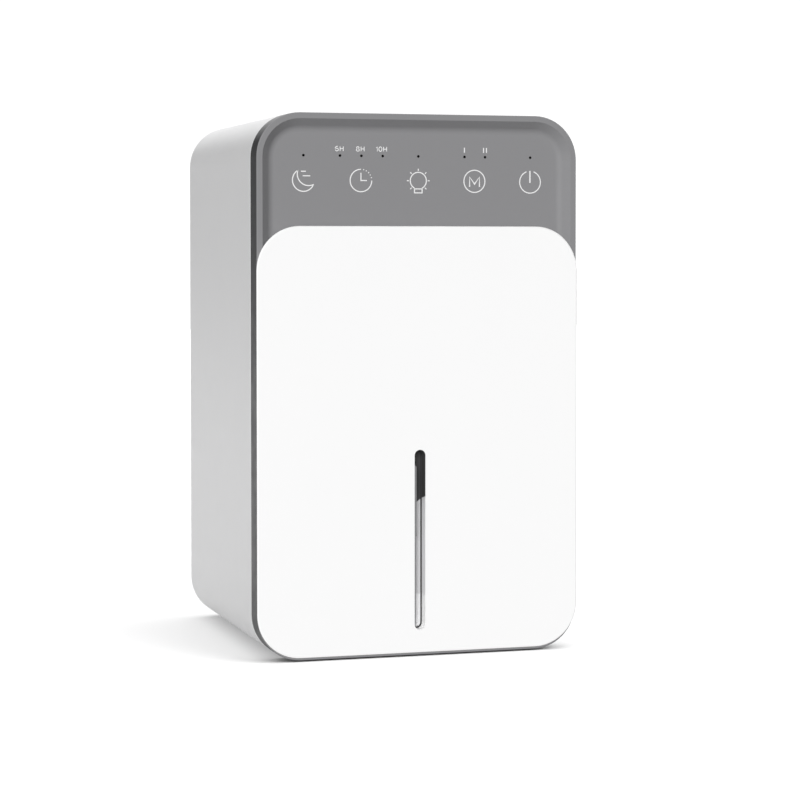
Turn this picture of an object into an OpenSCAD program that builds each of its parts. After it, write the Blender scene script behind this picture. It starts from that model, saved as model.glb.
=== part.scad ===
// Compact thermoelectric dehumidifier: a rounded upright box with a pull-out water tank behind
// a tall front panel, and a cooling stack with a fan in the upper half.
// Millimetres. +Z is up, the front faces -Y, and the origin is at the bottom centre.

/* [Body] */
// Width of the bezel and the sleeve
body_w = 134.5; // [134:0.1:136]
// Height of the sleeve, without its feet
body_h = 218.5; // [217.5:0.1:220]
// Depth from the front panel's face to the sleeve's rear edge
body_d = 132.5; // [132:0.1:134]
// Radius of the four long corners
corner_r = 17.8; // [17:0.1:18.5]
// Wall of the sleeve, the bezel and the rear cover
wall = 2.2; // [2:0.1:2.4]
// How far the rubber feet hold the sleeve up
foot_h = 0.6; // [0.5:0.1:2]

/* [Bezel] */
// Depth of the bezel, front to back
bezel_d = 11; // [10:0.1:12]
// Width of the flat rim round the recess
rim_w = 2.4; // [2:0.1:2.8]
// Width of the straight slope that leads down from the rim
slope_w = 2.75; // [2.6:0.05:2.8]
// Angle of the straight slope to the bezel's face
slope_a = 42; // [41:0.5:43]
// Width of the whole slope, with the hollow that joins it to the recess floor
cove_w = 5.3; // [5.2:0.1:5.4]
// Radius of the lamp pinholes
pinhole_r = 0.55; // [0.4:0.05:0.8]
// Height of the row of touch keys, above the base of the sleeve
key_row = 191.7; // [190:0.1:193]
// Height of the row of lamp pinholes, above the base of the sleeve
lamp_row = 201.6; // [200.5:0.1:202.5]

/* [Front panel] */
// Width of the front panel
panel_w = 134.9; // [134:0.1:136]
// Gap from the base of the sleeve to the lower edge of the panel
panel_low = 1; // [0.8:0.1:2]
// Height of the front panel
panel_h = 172.4; // [170:0.1:174]
// How far the panel stands in front of the bezel
panel_proud = 0.8; // [0.7:0.05:1]
// Width of the level window
window_w = 4.6; // [4:0.1:5]
// Lower end of the level window, above the base of the sleeve
window_low = 10.2; // [9:0.1:12]
// Length of the level window
window_h = 73; // [70:0.5:74]
// Depth from the panel's face to the window pane
window_d = 5.05; // [4.9:0.05:5.2]

/* [Water tank] */
// Half the width of the tank
tank_half = 59.2; // [58.5:0.1:59.2]
// Wall of the tank
tank_wall = 2; // [1.8:0.1:2.2]
// Height of the tank's rim above the table
tank_rim = 95.5; // [95:0.1:95.5]
// Radius of the tank's two lower edges
tank_r = 10.1; // [10:0.1:10.5]
// Radius of the float's pin
float_pin_r = 1; // [0.8:0.1:1.2]

/* [Cooling stack] */
// Side of the thermoelectric module
module_side = 40; // [38:1:40]
// Thickness of the thermoelectric module
module_t = 3.8; // [3.4:0.1:4]
// Side of the cold heatsink
cold_side = 60; // [58:1:62]
// Side of the hot heatsink
hot_side = 80; // [78:1:80]
// Thickness of the heatsink fins
fin_t = 1; // [0.8:0.1:1.2]

/* [Fan] */
// Side of the fan frame
fan_side = 80; // [80:1:80]
// Depth of the fan frame
fan_d = 25; // [24:0.5:25]
// Number of blades
fan_blades = 7; // [5:1:9]
// Radius of the fan shaft
shaft_r = 1.5; // [1.2:0.1:1.6]

/* [Inlet] */
// Radius of the hole in the power inlet
jack_bore_r = 2.9; // [2.8:0.1:3]
// Radius of the contact pin in the power inlet
jack_pin_r = 1; // [0.9:0.05:1.1]

/* [Hidden] */
$fn = 96;

// A small overshoot, so that a cut passes clean through a face
e = 0.1;
// Running gap round a pin, and the gap between pieces that move past each other
run_gap = 0.05;
slide_gap = 0.3;

// The hollow at the foot of the slope, and the recess's depth that follows from it
hollow_r = (cove_w - slope_w) / sin(slope_a);
slope_d = slope_w * tan(slope_a);
recess_d = slope_d + hollow_r * (1 - cos(slope_a));

// Heights
base_z = foot_h;
mid_z = base_z + body_h / 2;
key_z = base_z + key_row;
lamp_z = base_z + lamp_row;
panel_z = base_z + panel_low;
window_z = base_z + window_low;
shelf_z = 100;
shelf_t = 2;
stack_z = 159;
tray_top = 126;

// How far the bezel's lip reaches into the sleeve
lip_d = 4;

// Depths, from front to rear
panel_y = -body_d / 2;
rear_y = body_d / 2;
bezel_y = panel_y + panel_proud;
joint_y = bezel_y + bezel_d;
floor_y = bezel_y + recess_d;
floor_back = floor_y + wall;
pane_y = panel_y + window_d;
cover_y = rear_y - 2 - wall;
cold_face = -14;
hot_face = cold_face + module_t;
fan_y = cover_y - fan_d;
bay_start = joint_y + lip_d + 0.2;
bay_end = 46;
main_y = 50;
control_y = floor_back + 3.55;

// Widths
half_w = body_w / 2;
boss_x = half_w - corner_r + 8.91;
boss_z = body_h / 2 - corner_r + 8.91;
bay_t = 1.6;
bay_half = tank_half + 0.4 + bay_t;
bay_floor = 5.8;
tank_z = bay_floor + slide_gap;
tank_end = bay_end - bay_t - 0.4;

// Touch keys and lamps, across the front
key_x = [-47.3, -23.4, 0.6, 24.4, 48.4];
lamp_x = [-47.3, -32.2, -23.3, -14.4, 0.6, 20.2, 29, 48.5];

// Fan
fan_bore = fan_side / 2 - 2;
fan_hole = 35.75;
hub_r = 16.5;
magnet_r = 13.3;

// Water path
spout_y = -30;
spout_r = 3.2;
float_y = 34;
float_z = 84;

// Power inlet
jack_x = 36;
jack_z = 22.5;

board_t = 1.6;
main_fixings = [[-46, 17], [46, 17], [-31, 81], [31, 81]];

// ---- shared shapes ----

// Extrudes an outline that is seen from the front, from one depth to another
module slab(y0, y1) {
    translate([0, y1, 0]) rotate([90, 0, 0]) linear_extrude(y1 - y0) children();
}

// A rounded rectangle about its centre
module rounded(w, h, r) {
    square([w, h - 2 * r], center = true);
    square([w - 2 * r, h], center = true);
    for (x = [-1, 1], z = [-1, 1])
        translate([x * (w / 2 - r), z * (h / 2 - r)]) circle(r);
}

// The outline of the sleeve as seen from the front, moved in by a distance
module body_outline(inset) {
    translate([0, mid_z]) rounded(body_w - 2 * inset, body_h - 2 * inset, corner_r - inset);
}

// A tub seen from the front: straight sides, a flat top and two rounded lower corners
module tub_outline(half, z0, z1, r) {
    translate([-half, z0 + r]) square([2 * half, z1 - z0 - r]);
    translate([-half + r, z0]) square([2 * (half - r), r + e]);
    for (x = [-1, 1]) translate([x * (half - r), z0 + r]) circle(r);
}

// An upright slot with round ends
module slot_outline(w, h) {
    square([w, h - w], center = true);
    for (z = [-1, 1]) translate([0, z * (h - w) / 2]) circle(w / 2);
}

// Sweeps a wall's section round a rounded rectangle that is seen from the front. In the
// section, x is 0 at the outer edge and negative inside, and y points to the front.
module ring_sweep(w, h, r) {
    rotate([90, 0, 0])
        for (k = [0:3]) {
            run = (k % 2 == 0 ? h : w) - 2 * r;
            across = (k % 2 == 0 ? w : h) / 2;
            rotate(90 * k) {
                translate([across, run / 2, 0]) rotate([90, 0, 0]) linear_extrude(run) children();
                translate([across - r, run / 2, 0])
                    rotate_extrude(angle = 90) translate([r, 0]) children();
            }
        }
}

// What a round edge takes off the corner of a section. The corner is at y, on the outer
// edge, and dir says whether it faces the front (1) or the rear (-1).
module round_edge(y, r, dir) {
    translate([0, y]) difference() {
        translate([-r, dir > 0 ? -r : -e]) square(r + e);
        translate([-r, -dir * r]) circle(r);
    }
}

// A pan head screw along +Z with its head on top of z = 0 and its shank below
module screw(r, length, head_r, head_h) {
    difference() {
        union() {
            cylinder(r = head_r, h = head_h - 0.4);
            translate([0, 0, head_h - 0.4]) cylinder(r1 = head_r, r2 = head_r - 0.5, h = 0.4);
            translate([0, 0, -length]) cylinder(r = r, h = length + e);
        }
        for (a = [0, 90])
            rotate(a) translate([-head_r * 0.6, -0.3, head_h * 0.35])
                cube([head_r * 1.2, 0.6, head_h]);
    }
}

// A screw whose head faces the rear, with the underside of the head at a depth
module rear_screw(x, y, z, r, length, head_r, head_h) {
    translate([x, y, z]) rotate([-90, 0, 0]) screw(r, length, head_r, head_h);
}

// A block between two opposite corners
module block(low, high) {
    translate(low) cube(high - low);
}

// ---- leads ----

function unit(v) = v / norm(v);

// Cuts the corners of a route, so that it bends smoothly
function eased(p) = concat(
    [p[0]],
    [for (i = [0:len(p) - 2]) each [p[i] * 0.75 + p[i + 1] * 0.25, p[i] * 0.25 + p[i + 1] * 0.75]],
    [p[len(p) - 1]]
);

function heading(p, i) = unit(p[min(i + 1, len(p) - 1)] - p[max(i - 1, 0)]);

// A round lead along a route. ref is a direction that the route never takes.
module lead(route, r, ref) {
    sides = 8;
    p = eased(eased(route));
    n = len(p);
    rings = [for (i = [0:n - 1])
        let (d = heading(p, i), a = unit(cross(d, ref)), b = cross(d, a))
        each [for (k = [0:sides - 1]) p[i] + r * (cos(360 * k / sides) * a + sin(360 * k / sides) * b)]];
    skin = [for (i = [0:n - 2], k = [0:sides - 1])
        let (a = i * sides + k, b = i * sides + (k + 1) % sides)
        each [[a, b, b + sides], [a, b + sides, a + sides]]];
    start = [for (k = [1:sides - 2]) [0, k + 1, k]];
    end = [for (k = [1:sides - 2]) [for (j = [0, k, k + 1]) (n - 1) * sides + j]];
    polyhedron(points = rings, faces = [for (f = concat(skin, start, end)) [f[2], f[1], f[0]]]);
}

// ---- casing ----

module sleeve_section() {
    difference() {
        translate([-wall, -rear_y]) square([wall, rear_y - joint_y]);
        round_edge(-joint_y, 0.6, 1);
        round_edge(-rear_y, 1.8, -1);
    }
}

module outer_shell() {
    color("white") difference() {
        union() {
            translate([0, 0, mid_z]) ring_sweep(body_w, body_h, corner_r) sleeve_section();
            for (x = [-1, 1], z = [-1, 1])
                translate([x * boss_x, cover_y, mid_z + z * boss_z])
                    rotate([90, 0, 0]) cylinder(r = 3.5, h = 14);
        }
        for (x = [-1, 1], z = [-1, 1])
            translate([x * boss_x, cover_y + e, mid_z + z * boss_z])
                rotate([90, 0, 0]) cylinder(r = 1.5, h = 12);
        foot_places() cylinder(r = 6.05, h = 0.8 + e);
    }
}

// Puts a piece at each foot, on the underside of the sleeve
module foot_places() {
    for (x = [-42, 42], y = [-43, 49]) translate([x, y, base_z - e]) children();
}

module rubber_feet() {
    color("dimgray") for (x = [-42, 42], y = [-43, 49]) translate([x, y, 0]) {
        cylinder(r1 = 5.7, r2 = 6, h = 0.3);
        translate([0, 0, 0.3]) cylinder(r = 6, h = foot_h + 0.5);
    }
}

// The bezel's wall: a crisp front edge, the rim, the hollow slope and the floor behind it,
// with a lip that sits inside the sleeve
module bezel_section() {
    floor_u = rim_w + cove_w;
    lip = 1.6;
    lip_u = wall + 0.15;
    difference() {
        union() {
            translate([-floor_u, -floor_back]) square([floor_u, floor_back - bezel_y]);
            translate([-lip_u - lip, -joint_y]) square([lip_u + lip, joint_y - floor_back + e]);
        }
        round_edge(-bezel_y, 0.35, 1);
        round_edge(-joint_y, 0.3, -1);
        translate([-floor_u, hollow_r - recess_d - bezel_y]) circle(hollow_r);
        translate([-rim_w, -bezel_y]) polygon([
            [0, 0], [-slope_w, -slope_d], [-cove_w, -slope_d], [-cove_w, 1], [0, 1]
        ]);
    }
    translate([-lip_u - lip, -joint_y - lip_d]) square([lip, lip_d + e]);
}

module front_bezel() {
    inset = rim_w + cove_w;
    color("gray") difference() {
        union() {
            translate([0, 0, mid_z]) ring_sweep(body_w, body_h, corner_r) bezel_section();
            slab(floor_y, floor_back) body_outline(inset);
            control_board_posts() cylinder(r = 2.6, h = control_y - floor_back + e);
        }
        slab(bezel_y - e, joint_y + lip_d + e) tub_outline(tank_half + 0.7, base_z + 4, shelf_z - 0.6, 10.7);
        for (x = lamp_x) translate([x, floor_back + e, lamp_z])
            rotate([90, 0, 0]) cylinder(r = pinhole_r, h = wall + 2 * e);
        control_board_posts() translate([0, 0, -1]) cylinder(r = 1.1, h = 6);
    }
}

// Puts a piece at each corner of the control board, standing on the back of the recess floor
module control_board_posts() {
    for (x = [-54, 54], z = [187.5, 207.5])
        translate([x, floor_back - e, z]) rotate([-90, 0, 0]) children();
}

// Rings of slots, split by eight spokes
module exhaust_outline() {
    difference() {
        for (i = [0:5]) difference() {
            circle(9.4 + 5.1 * i + 3);
            circle(9.4 + 5.1 * i);
        }
        for (a = [0:45:135]) rotate(a) square([90, 2.4], center = true);
    }
}

module rear_cover() {
    color("white") difference() {
        union() {
            slab(cover_y, cover_y + wall) body_outline(wall + 0.15);
            slab(cover_y + wall - e, cover_y + wall + 0.8) translate([0, stack_z]) difference() {
                circle(41.2);
                circle(39.4);
            }
        }
        slab(cover_y - e, cover_y + wall + 1) {
            translate([0, stack_z]) exhaust_outline();
            for (x = [-1, 1], i = [0:14])
                translate([x * 52, 112 + 6 * i]) rotate(90) slot_outline(2.6, 11);
            for (x = [-1, 1], i = [0:5])
                translate([x * 14, 32 + 6 * i]) rotate(90) slot_outline(2.6, 20);
            translate([jack_x, jack_z]) circle(4.35);
            for (x = [-1, 1], z = [-1, 1]) {
                translate([x * fan_hole, stack_z + z * fan_hole]) circle(2.3);
                translate([x * boss_x, mid_z + z * boss_z]) circle(1.7);
            }
        }
        for (x = [-1, 1], z = [-1, 1])
            slab(cover_y + 1.2, cover_y + wall + 1)
                translate([x * boss_x, mid_z + z * boss_z]) circle(3.4);
    }
}

module rear_cover_screws() {
    color("silver") for (x = [-1, 1], z = [-1, 1])
        rear_screw(x * boss_x, cover_y + 1.2, mid_z + z * boss_z, 1.45, 11, 2.9, 1.7);
}

// ---- chassis ----

module chassis() {
    color("lightgray") difference() {
        union() {
            block([-63, floor_back + 0.4, shelf_z], [63, bay_end, shelf_z + shelf_t]);
            for (x = [-1, 1]) {
                translate([x * 58, 50, shelf_z]) cylinder(r = 4, h = shelf_t);
                block([x * 58 - 4, bay_end - e, shelf_z], [x * 58 + 4, 50, shelf_z + shelf_t]);
                block([x * 61.8 - 1, -40, shelf_z], [x * 61.8 + 1, 40, shelf_z + 12]);
                block([x * 20 - 1, 12, shelf_z], [x * 20 + 1, 34, stack_z - 49.2]);
            }
        }
        translate([0, spout_y, shelf_z - e]) cylinder(r = 5.3, h = shelf_t + 2 * e);
        for (x = [-1, 1]) {
            translate([x * 58, 50, shelf_z - e]) cylinder(r = 1.7, h = shelf_t + 2 * e);
            translate([x * 46.5, 6, shelf_z - e]) cylinder(r = 1.5, h = shelf_t + 2 * e);
        }
    }
}

module tank_bay() {
    color("whitesmoke") difference() {
        union() {
            difference() {
                slab(bay_start, bay_end) tub_outline(bay_half, bay_floor - bay_t, shelf_z, 12);
                slab(bay_start - e, bay_end - bay_t)
                    tub_outline(bay_half - bay_t, bay_floor, shelf_z + e, 10.4);
            }
            for (y = [-40, 0, 36])
                block([-40, y - 1, base_z + wall], [40, y + 1, bay_floor - bay_t + e]);
            for (x = [-1, 1]) {
                translate([x * 58, 50, 88]) cylinder(r = 3.2, h = shelf_z - 88);
                block([x * 58 - 1, bay_end - e, 88], [x * 58 + 1, 48, shelf_z]);
            }
            main_board_posts() cylinder(r = 3, h = main_y - bay_end + e);
        }
        for (x = [-1, 1])
            translate([x * 58, 50, 90]) cylinder(r = 1.5, h = shelf_z - 90 + e);
        main_board_posts() translate([0, 0, e]) cylinder(r = 1.3, h = 5);
        slab(bay_end - bay_t - e, bay_end + e) translate([0, 36]) circle(2.7);
    }
}

// Puts a piece at each fixing of the main board, standing on the rear of the tank bay
module main_board_posts() {
    for (p = main_fixings)
        translate([p[0], bay_end - e, p[1]]) rotate([-90, 0, 0]) children();
}

module chassis_screws() {
    color("silver") for (x = [-1, 1]) {
        translate([x * 58, 50, shelf_z + shelf_t]) screw(1.45, 10, 2.9, 1.7);
        translate([x * 46.5, 6, shelf_z + shelf_t + 2.4]) screw(1.45, 4.2, 2.9, 1.7);
    }
}

// ---- cooling stack ----

module cold_heatsink() {
    half = cold_side / 2;
    color("silver") difference() {
        union() {
            block([-half, cold_face - 4, stack_z - half], [half, cold_face, stack_z + half]);
            for (i = [-7:7]) block(
                [i * 4.1 - fin_t / 2, -40, stack_z - half],
                [i * 4.1 + fin_t / 2, cold_face - 4 + e, stack_z + half]
            );
        }
        for (x = [-25, 25]) translate([x, -41, stack_z]) rotate([-90, 0, 0]) {
            cylinder(r = 3.6, h = 41 + cold_face - 4);
            cylinder(r = 1.7, h = 30);
        }
    }
}

module thermoelectric_module() {
    half = module_side / 2;
    color("white") slab(cold_face, hot_face) translate([0, stack_z])
        square([2 * half - 2.4, 2 * half - 2.4], center = true);
    color("white") for (y = [cold_face, hot_face - 0.8])
        block([-half, y, stack_z - half], [half, y + 0.8, stack_z + half]);
}

module insulation_gasket() {
    half = cold_side / 2;
    hole = module_side / 2 + 0.3;
    color("dimgray") difference() {
        block([-half, cold_face, stack_z - half], [half, hot_face, stack_z + half]);
        block([-hole, cold_face - e, stack_z - hole], [hole, hot_face + e, stack_z + hole]);
        block([hole - e, cold_face - e, 149], [half + e, hot_face + e, 154]);
        for (x = [-25, 25]) translate([x, cold_face - e, stack_z])
            rotate([-90, 0, 0]) cylinder(r = 1.7, h = module_t + 2 * e);
    }
}

module hot_heatsink() {
    half = hot_side / 2;
    color("silver") difference() {
        union() {
            block([-half, hot_face, stack_z - half], [half, hot_face + 5, stack_z + half]);
            for (i = [-9:9]) block(
                [i * 4.35 - fin_t / 2, hot_face + 5 - e, stack_z - half],
                [i * 4.35 + fin_t / 2, 26, stack_z + half]
            );
        }
        for (x = [-25, 25]) translate([x, hot_face - e, stack_z])
            rotate([-90, 0, 0]) cylinder(r = 1.5, h = 4.6);
    }
}

module heatsink_screws() {
    color("silver") for (x = [-25, 25])
        translate([x, cold_face - 4, stack_z]) rotate([90, 0, 0]) screw(1.45, 12, 2.9, 1.8);
}

module air_duct() {
    half = 42.4;
    tall = 49.2;
    t = 1.6;
    color("gainsboro") difference() {
        union() {
            block([-half, hot_face - 2, stack_z - tall], [half, fan_y, stack_z + tall]);
            for (x = [-1, 1]) {
                block([x * 41.6 - 0.8, -4, shelf_z + shelf_t], [x * 41.6 + 0.8, 16, stack_z - tall + e]);
                block([x * 46.5 - 4.9, 2, shelf_z + shelf_t], [x * 46.5 + 4.9, 10, shelf_z + shelf_t + 2.4]);
            }
        }
        block([-half + t, hot_face, stack_z - tall + t], [half - t, fan_y - 1.8, stack_z + tall - t]);
        block([-cold_side / 2 - 0.2, hot_face - 3, stack_z - cold_side / 2 - 0.2],
              [cold_side / 2 + 0.2, hot_face + e, stack_z + cold_side / 2 + 0.2]);
        for (z = [-1, 1])
            block([-30, hot_face - 3, stack_z + z * 44.1 - 2.6], [30, hot_face + e, stack_z + z * 44.1 + 2.6]);
        block([cold_side / 2, hot_face - 3, 148.2], [half + e, hot_face + e, 154]);
        slab(fan_y - 3, fan_y + e) translate([0, stack_z]) circle(fan_bore + 0.5);
        for (x = [-1, 1])
            translate([x * 46.5, 6, shelf_z]) cylinder(r = 1.7, h = 6);
    }
}

module drip_tray() {
    y0 = -43;
    y1 = hot_face - 2.4;
    color("white") difference() {
        union() {
            slab(y0, y1)
                polygon([[-35, tray_top], [-35, 119], [-7, 111], [7, 111], [35, 119], [35, tray_top]]);
            translate([0, spout_y, shelf_z + 0.2]) cylinder(r = 5, h = 11.5);
            for (x = [-29.5, 29.5])
                block([x - 1.5, -38, shelf_z + shelf_t], [x + 1.5, -20, 118]);
        }
        slab(y0 + 1.5, y1 - 1.5) polygon([
            [-33.5, tray_top + e], [-33.5, 120.3], [-7, 112.7], [7, 112.7], [33.5, 120.3], [33.5, tray_top + e]
        ]);
        translate([0, spout_y, shelf_z]) cylinder(r = spout_r, h = 14);
    }
}

// ---- fan ----

module fan_frame() {
    half = fan_side / 2;
    base_y = cover_y - 3.4;
    color("#2b2b2d") difference() {
        union() {
            for (y = [fan_y, cover_y - 3.6])
                slab(y, y + 3.6) translate([0, stack_z]) rounded(fan_side, fan_side, 4);
            slab(fan_y, cover_y) translate([0, stack_z]) circle(fan_bore + 1.6);
        }
        slab(fan_y - e, cover_y + e) translate([0, stack_z]) circle(fan_bore);
        for (x = [-1, 1], z = [-1, 1])
            slab(fan_y - e, cover_y + e)
                translate([x * fan_hole, stack_z + z * fan_hole]) circle(2.15);
    }
    color("#2b2b2d") difference() {
        union() {
            slab(base_y, base_y + 3) translate([0, stack_z]) {
                circle(17);
                for (a = [20:90:290]) rotate(a) translate([15, -1.6]) square([fan_bore - 14.6, 3.2]);
            }
            slab(fan_y + 8, base_y + e) translate([0, stack_z]) circle(4);
        }
        slab(fan_y + 7, base_y) translate([0, stack_z]) circle(3);
    }
}

module fan_bearing() {
    color("goldenrod") slab(fan_y + 8, cover_y - 3.4) translate([0, stack_z]) difference() {
        circle(3);
        circle(shaft_r + run_gap);
    }
}

module fan_stator() {
    color("peru") slab(fan_y + 9, fan_y + 19) translate([0, stack_z]) difference() {
        union() {
            circle(7);
            for (a = [0:90:270]) rotate(a) {
                translate([0, -2.5]) square([12, 5]);
                intersection() {
                    circle(12.4);
                    translate([9.6, -8]) square([4, 16]);
                }
            }
        }
        circle(4.05);
    }
}

module fan_screws() {
    color("silver") for (x = [-1, 1], z = [-1, 1])
        rear_screw(x * fan_hole, cover_y + wall, stack_z + z * fan_hole, 2.1, 10, 3.6, 1.7);
}

// A flat blade, set at an angle to the shaft and trimmed to the rotor's tip
module fan_blade() {
    intersection() {
        translate([0, fan_y + 11, 0]) rotate([90, 0, 0]) cylinder(r = fan_bore - 0.8, h = 24, center = true);
        translate([hub_r - 2.4, fan_y + 10.6, 0]) rotate([38, 0, 0])
            translate([0, -11, -0.8]) cube([fan_bore - hub_r + 4, 22, 1.6]);
    }
}

module fan_rotor() {
    color("#2b2b2d") translate([0, 0, stack_z]) for (i = [0:fan_blades - 1])
        rotate([0, 360 * i / fan_blades, 0]) fan_blade();
    color("#2b2b2d") difference() {
        slab(fan_y + 1.6, fan_y + 20.4) translate([0, stack_z]) circle(hub_r);
        slab(fan_y + 3.6, fan_y + 20.5) translate([0, stack_z]) circle(magnet_r);
        slab(fan_y, fan_y + 4) translate([0, stack_z]) circle(shaft_r);
    }
}

module fan_shaft() {
    color("silver") slab(fan_y + 2, cover_y - 4) translate([0, stack_z]) circle(shaft_r);
}

// ---- electronics ----

module control_board() {
    color("seagreen") difference() {
        slab(control_y, control_y + board_t) translate([0, 197.5]) rounded(114, 26, 3);
        control_board_posts() translate([0, 0, 1]) cylinder(r = 1.4, h = 8);
    }
    color("#202020") block([4, control_y + board_t - e, 192], [14, control_y + board_t + 1.4, 202]);
    color("ivory") block([-51.5, control_y + board_t - e, 186], [-42.5, control_y + board_t + 4, 191]);
}

module indicator_lamps() {
    color("ivory") for (x = lamp_x) slab(floor_back + 0.3, control_y) translate([x, lamp_z]) circle(1.3);
}

module touch_springs() {
    color("silver") for (x = key_x) slab(floor_back, control_y) translate([x, key_z]) difference() {
        circle(4.5);
        circle(3.9);
    }
}

module control_board_screws() {
    color("silver") for (x = [-54, 54], z = [187.5, 207.5])
        rear_screw(x, control_y + board_t, z, 1.05, 5, 2.1, 1.3);
}

module main_board() {
    color("seagreen") difference() {
        slab(main_y, main_y + board_t) translate([0, 49]) rounded(104, 74, 3);
        main_board_posts() translate([0, 0, 3]) cylinder(r = 1.6, h = 6);
    }
}

module board_components() {
    face = main_y + board_t;
    color("#202020") block([-8, face, 50], [6, face + 2, 64]);
    color("#303a60") for (x = [14, 26]) slab(face, face + 8.5) translate([x, 42]) circle(4.6);
    color("#202020") block([-34, face, 24], [-22, face + 6, 36]);
    color("silver") block([-42, face, 42], [-24, face + 8, 46]);
    color("ivory") block([-51.5, face, 74], [-42.5, face + 5, 82]);
    color("ivory") for (x = [18, 34]) block([x, face, 76], [x + 10, face + 6, 86]);
    color("#202020") for (x = [-14:6:10]) block([x, face, 22], [x + 2.4, face + 1, 26]);
}

module main_board_screws() {
    color("silver") for (p = main_fixings)
        rear_screw(p[0], main_y + board_t, p[1], 1.25, 4.8, 2.3, 1.5);
}

module power_jack() {
    color("#202020") difference() {
        union() {
            block([jack_x - 4.6, main_y + board_t, jack_z - 5.4], [jack_x + 4.6, cover_y, jack_z + 5.4]);
            slab(cover_y - e, cover_y + wall) translate([jack_x, jack_z]) circle(4.2);
        }
        slab(cover_y - 8, cover_y + wall + e) translate([jack_x, jack_z]) circle(jack_bore_r);
    }
}

module jack_pin() {
    color("gold") slab(cover_y - 8, cover_y + wall - 1) translate([jack_x, jack_z]) circle(jack_pin_r);
}

module night_light() {
    color("seagreen") block([-9, bay_end, 30], [9, bay_end + 1.2, 42]);
    color("ivory") slab(bay_end - 1.4, bay_end + e) translate([0, 36]) circle(2.5);
}

module reed_switch() {
    color("seagreen") block([-bay_half - 1.2, -4, 76], [-bay_half, 14, 92]);
    color("gray") translate([-bay_half - 2.2, -2, 84]) rotate([-90, 0, 0]) cylinder(r = 1.2, h = 14);
}

// The sideways step at a point of a flat route that keeps both of its stretches equally thick
function miter(p, i) = let (
    n = len(p),
    before = unit(p[max(i, 1)] - p[max(i, 1) - 1]),
    after = unit(p[min(i, n - 2) + 1] - p[min(i, n - 2)]),
    a = [-before[1], before[0]],
    b = [-after[1], after[0]]
) (a + b) / (1 + a * b);

// A flat cable in the left side channel, from the control board over the duct to the main board
module ribbon_cable() {
    half_t = 0.5;
    p = eased([
        [control_y + board_t + 4, 188.5], [-45, 188.5], [-45, 112], [50, 112], [55, 108], [55, 82]
    ]);
    n = len(p);
    one_face = [for (i = [0:n - 1]) p[i] + half_t * miter(p, i)];
    other_face = [for (i = [n - 1:-1:0]) p[i] - half_t * miter(p, i)];
    color("silver") rotate([90, 0, 90]) translate([0, 0, -51])
        linear_extrude(8) polygon(concat(one_face, other_face));
}

module fan_lead() {
    route = [[30, 60, 119], [30, 60, 110], [28, 58, 100], [24, 56, 94], [23, 55, 86.2]];
    color("#202020") lead(route, 1.2, [1, 0, 0]);
}

module module_leads() {
    for (k = [0, 1])
        color(k == 0 ? "firebrick" : "#202020") lead([
            [20.2, -12.1, 150.3 + 2.4 * k], [43, -12.1, 150.3 + 2.4 * k], [49, -10, 146 + 2.4 * k],
            [50, 10, 128 + 2.4 * k], [50, 40, 114 + 2.4 * k], [49 - 3 * k, 55, 106 + 2 * k],
            [42 - 3 * k, 55, 96], [41 - 3 * k, 55, 86.2]
        ], 0.9, [0.3, 0.2, 1]);
}

// ---- tank ----

module tank_body() {
    inner = tank_half - tank_wall;
    color("lightcyan", 0.5) difference() {
        union() {
            difference() {
                slab(pane_y, tank_end) tub_outline(tank_half, tank_z, tank_rim, tank_r);
                slab(pane_y + tank_wall, tank_end - tank_wall)
                    tub_outline(inner, tank_z + tank_wall, tank_rim + e, tank_r - tank_wall);
            }
            for (x = [-49, -39])
                block([x - 1, float_y - 4, float_z - 5], [x + 1, tank_end - tank_wall + e, float_z + 4]);
        }
        translate([-52, float_y, float_z]) rotate([0, 90, 0]) cylinder(r = float_pin_r, h = 16);
        slab(pane_y - e, pane_y + 1.2)
            translate([0, window_z + window_h / 2]) slot_outline(window_w + 4, window_h + 4);
    }
}

// The panel's outline, moved in by a distance
module panel_outline(inset) {
    translate([0, panel_z + panel_h / 2])
        rounded(panel_w - 2 * inset, panel_h - 2 * inset, corner_r - inset);
}

// The panel's edge: a thin lip that lies over the bezel's rim, with a soft front edge
module panel_section() {
    lip = panel_proud - 0.15;
    difference() {
        translate([-8, -panel_y - lip]) square([8, lip]);
        round_edge(-panel_y, 0.55, 1);
    }
}

// A thick layer of the panel that goes down into the bezel's recess
module panel_layer(inset, top_inset, y0, y1) {
    intersection() {
        slab(y0, y1) panel_outline(top_inset);
        slab(y0, y1) body_outline(inset);
    }
}

module front_panel() {
    lip_y = panel_y + panel_proud - 0.15;
    layer_y = bezel_y + 1.6;
    web_y = floor_y - 0.2;
    window_mid = window_z + window_h / 2;
    color("white") difference() {
        union() {
            translate([0, 0, panel_z + panel_h / 2]) ring_sweep(panel_w, panel_h, corner_r) panel_section();
            slab(panel_y, lip_y) panel_outline(8);
            panel_layer(4.8, 0.4, lip_y - e / 2, layer_y);
            difference() {
                panel_layer(8.2, 3.4, layer_y - e, web_y);
                panel_layer(9.8, 5, layer_y - 2 * e, web_y + e);
            }
            for (z = [110, 142]) block([-58, layer_y - e, z - 0.8], [58, web_y, z + 0.8]);
            slab(layer_y - e, pane_y) translate([0, window_mid]) slot_outline(window_w + 3.2, window_h + 3.2);
            for (x = [-48, 48], z = [24, 86]) slab(layer_y - e, pane_y) translate([x, z]) circle(3);
        }
        slab(panel_y - e, pane_y + e) translate([0, window_mid]) slot_outline(window_w, window_h);
    }
}

module window_pane() {
    color("lightgray", 0.6) slab(pane_y + 0.25, pane_y + 1.2)
        translate([0, window_z + window_h / 2]) slot_outline(window_w + 3.8, window_h + 3.8);
}

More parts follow.
